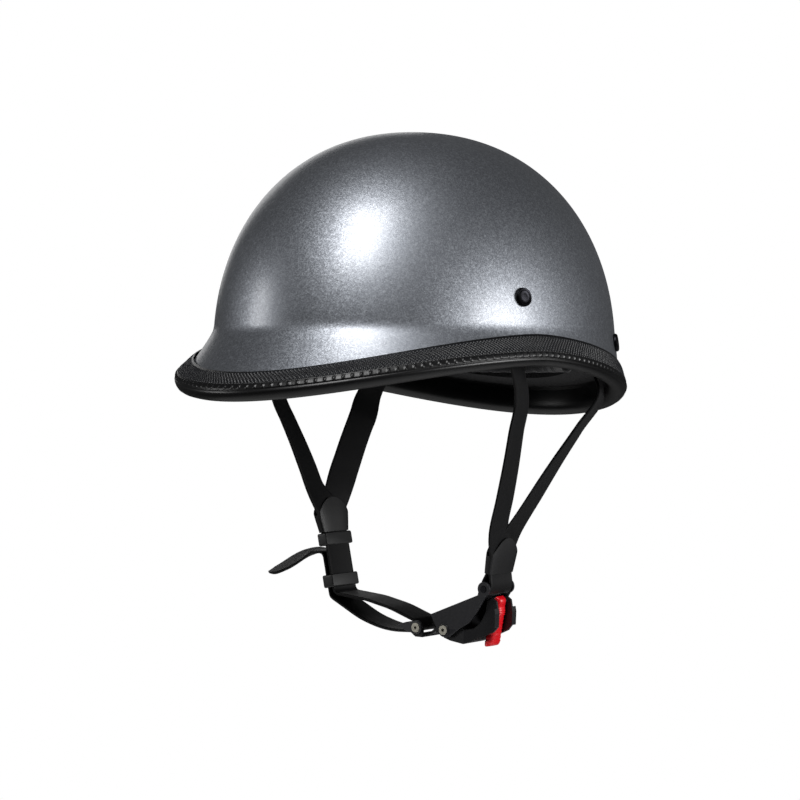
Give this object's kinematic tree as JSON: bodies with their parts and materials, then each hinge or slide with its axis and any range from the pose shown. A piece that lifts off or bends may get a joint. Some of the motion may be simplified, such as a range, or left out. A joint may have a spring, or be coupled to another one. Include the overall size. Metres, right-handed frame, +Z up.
{
  "type": "half shell motorcycle helmet",
  "caption": "Half shell motorcycle helmet with a flared brim, rubber edge trim, padded liner and a ratchet-buckle chin strap with a red pull tab.",
  "frame": {"origin": "centre of the head opening, on the dome's widest plane, at the head_seat mount", "axes": "+Z up through the crown, -Y towards the brim at the front, +X towards the wearer's left side"},
  "size_m": [0.2418, 0.3225, 0.3112],
  "materials": {
    "shell_paint": "gloss metallic flake",
    "trim_rubber": "satin",
    "liner_foam": "matte",
    "pad_fabric": "satin knit",
    "snap_brass": "satin",
    "rivet_steel": "satin",
    "washer_steel": "satin",
    "webbing": "woven",
    "divider_plastic": "satin",
    "buckle_steel": "satin",
    "eyelet_metal": "satin",
    "spring_steel": "satin",
    "lever_plastic": "satin",
    "tab_red": "satin",
    "tongue_plastic": "satin",
    "leaf_plastic": "satin"
  },
  "bodies": {
    "shell_body": {"outer_shell": "shell_paint", "edge_trim": "trim_rubber", "foam_liner": "liner_foam", "brow_pad": "pad_fabric", "left_side_pad": "pad_fabric", "right_side_pad": "pad_fabric", "nape_pad": "pad_fabric", "crown_pad": "pad_fabric", "nape_snap": "snap_brass", "shell_rivets": "rivet_steel", "rivet_washers": "washer_steel", "left_front_strap": "webbing", "left_rear_strap": "webbing", "left_divider": "divider_plastic", "right_front_anchor": "webbing", "right_rear_anchor": "webbing", "buckle_housing": "buckle_steel", "strap_bar": "buckle_steel", "lever_pin": "eyelet_metal", "lever_spring": "spring_steel"},
    "lever_body": {"buckle_lever": "lever_plastic"},
    "tab_body": {"pull_tab": "tab_red"},
    "strap_body": {"chin_strap": "webbing", "right_rear_strap": "webbing", "right_divider": "divider_plastic", "right_keeper": "divider_plastic", "ratchet_tongue": "tongue_plastic", "tongue_leaves": "leaf_plastic", "tongue_rivets": "eyelet_metal"},
    "slider_body": {"chin_slider": "divider_plastic"}
  },
  "joints": [
    {"name": "lever_hinge", "type": "hinge", "parent": "shell_body", "child": "lever_body", "pos_m": [0.0339, -0.006, -0.1656], "axis": [0, 1, 0], "range_deg": [0, 32], "stiffness_Nm_per_rad": 0.02, "springref_deg": -34.38},
    {"name": "pull_tab_swing", "type": "hinge", "parent": "lever_body", "child": "tab_body", "pos_m": [0.0661, -0.006, -0.1472], "axis": [0, -1, 0], "range_deg": [0, 100]},
    {"name": "right_strap_swing", "type": "hinge", "parent": "shell_body", "child": "strap_body", "pos_m": [-0.0895, -0.006, -0.026], "axis": [0, 1, 0], "range_deg": [0, 60]},
    {"name": "chin_slider_slide", "type": "slide", "parent": "strap_body", "child": "slider_body", "axis": [-0.2079, 0, 0.9781], "range_m": [0, 0.01]}
  ]
}
